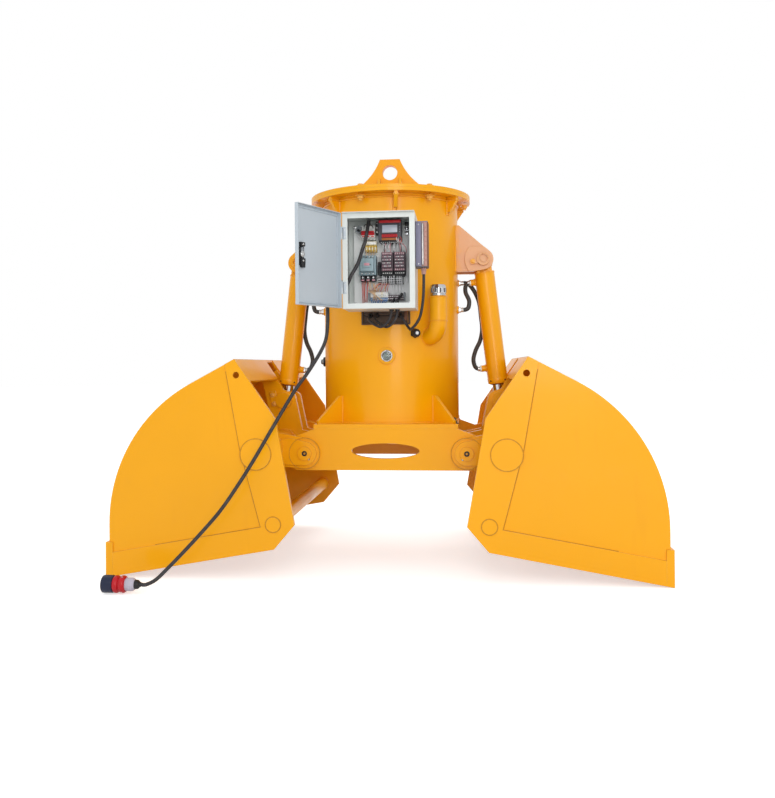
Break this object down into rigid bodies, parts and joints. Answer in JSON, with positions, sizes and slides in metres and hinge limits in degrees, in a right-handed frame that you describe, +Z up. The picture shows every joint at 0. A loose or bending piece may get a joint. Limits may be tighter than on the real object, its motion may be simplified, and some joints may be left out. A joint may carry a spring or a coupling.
{
  "type": "clamshell bucket",
  "caption": "Electro-hydraulic clamshell bucket: two open curved jaws on a beam under a round power unit, with a cylinder for each jaw and an open control box.",
  "frame": {"origin": "centre of the lifting eye above the top cover, on the lug plate's mid plane", "axes": "+X to the right jaw seen from the control box side, +Y from the control box to the back, +Z up"},
  "size_m": [2.2994, 1.526, 1.8492],
  "materials": {
    "orange_paint": "satin",
    "bare_steel": "satin",
    "bright_chrome": "polished",
    "grey_paint": "satin",
    "blue_paint": "satin",
    "sight_glass": "clear",
    "black_plastic": "matte",
    "black_rubber": "matte",
    "white_plastic": "satin",
    "red_plastic": "satin",
    "green_grey_plastic": "matte",
    "dark_plastic": "matte"
  },
  "bodies": {
    "power_unit": {"drum_shell": "orange_paint", "drum_flange": "orange_paint", "top_cover": "orange_paint", "lifting_lug": "orange_paint", "cover_bolts": "orange_paint", "base_plate": "orange_paint", "base_gussets": "orange_paint", "beam_plates": "orange_paint", "beam_cross_plates": "orange_paint", "hinge_bushes": "bare_steel", "cylinder_brackets": "orange_paint", "top_pins": "orange_paint", "sight_glass_ring": "grey_paint", "sight_glass_lens": "sight_glass", "filler_pipe": "orange_paint", "cable_gland": "black_plastic", "drain_plug": "bare_steel", "level_switch": "black_plastic", "cable_seal": "black_rubber", "motor": "blue_paint", "pump": "bare_steel", "valve_block": "bare_steel", "box_brackets": "orange_paint", "control_box": "grey_paint", "door_hinges": "bare_steel", "mounting_plate": "grey_paint", "main_breakers": "white_plastic", "contactor": "green_grey_plastic", "relay_group": "dark_plastic", "phase_monitor": "dark_plastic", "terminal_strips": "white_plastic", "box_wiring": "red_plastic", "receiver": "dark_plastic", "control_leads": "black_rubber", "supply_gland": "black_plastic", "supply_lead_in": "black_rubber", "supply_cable": "black_rubber", "supply_plug": "red_plastic"},
    "jaw_left": {"side_plates_left": "orange_paint", "back_plate_left": "orange_paint", "cutting_edge_left": "orange_paint", "jaw_frame_left": "orange_paint", "hinge_pin_left": "bare_steel"},
    "jaw_right": {"side_plates_right": "orange_paint", "back_plate_right": "orange_paint", "cutting_edge_right": "orange_paint", "jaw_frame_right": "orange_paint", "hinge_pin_right": "bare_steel"},
    "cylinder_left": {"barrel_left": "orange_paint", "hoses_left": "black_rubber"},
    "cylinder_right": {"barrel_right": "orange_paint", "hoses_right": "black_rubber"},
    "rod_body_left": {"rod_left": "bright_chrome", "rod_pin_left": "bare_steel"},
    "rod_body_right": {"rod_right": "bright_chrome", "rod_pin_right": "bare_steel"},
    "door": {"box_door": "grey_paint"},
    "latch": {"door_latch": "black_plastic"},
    "toggle": {"breaker_toggle": "red_plastic"},
    "cap": {"filler_cap": "bright_chrome"}
  },
  "joints": [
    {"name": "jaw_left_hinge", "type": "hinge", "parent": "power_unit", "child": "jaw_left", "pos_m": [-0.351, 0, -1.292], "axis": [0, -1, 0], "range_deg": [0, 80]},
    {"name": "jaw_right_hinge", "type": "hinge", "parent": "power_unit", "child": "jaw_right", "pos_m": [0.351, 0, -1.292], "axis": [0, 1, 0], "range_deg": [0, 80]},
    {"name": "cylinder_left_tilt", "type": "hinge", "parent": "power_unit", "child": "cylinder_left", "pos_m": [-0.433, 0, -0.425], "axis": [0, 1, 0], "range_deg": [0, 2.75]},
    {"name": "cylinder_right_tilt", "type": "hinge", "parent": "power_unit", "child": "cylinder_right", "pos_m": [0.433, 0, -0.425], "axis": [0, -1, 0], "range_deg": [0, 2.75]},
    {"name": "rod_left_slide", "type": "slide", "parent": "cylinder_left", "child": "rod_body_left", "axis": [-0.1141, 0, -0.9935], "range_m": [0, 0.344]},
    {"name": "rod_right_slide", "type": "slide", "parent": "cylinder_right", "child": "rod_body_right", "axis": [0.1141, 0, -0.9935], "range_m": [0, 0.344]},
    {"name": "box_door_hinge", "type": "hinge", "parent": "power_unit", "child": "door", "pos_m": [-0.157, -0.558, -0.479], "axis": [0, 0, 1], "range_deg": [-12, 116]},
    {"name": "door_latch_turn", "type": "hinge", "parent": "door", "child": "latch", "pos_m": [-0.27361, -0.79708, -0.479], "axis": [0.8988, -0.4384, 0], "range_deg": [0, 90]},
    {"name": "breaker_toggle_turn", "type": "hinge", "parent": "power_unit", "child": "toggle", "pos_m": [-0.059, -0.4425, -0.3524], "axis": [1, 0, 0], "range_deg": [0, 60]},
    {"name": "filler_cap_turn", "type": "hinge", "parent": "power_unit", "child": "cap", "pos_m": [0.2317, -0.30747, -0.586], "axis": [0, 0, 1], "range_deg": [0, 90]}
  ],
  "couplings": [
    {"joint": "cylinder_left_tilt", "follows": "jaw_left_hinge", "ratio": 0.03434},
    {"joint": "rod_left_slide", "follows": "jaw_left_hinge", "m_per_rad": 0.24637},
    {"joint": "cylinder_right_tilt", "follows": "jaw_right_hinge", "ratio": 0.03434},
    {"joint": "rod_right_slide", "follows": "jaw_right_hinge", "m_per_rad": 0.24637}
  ]
}
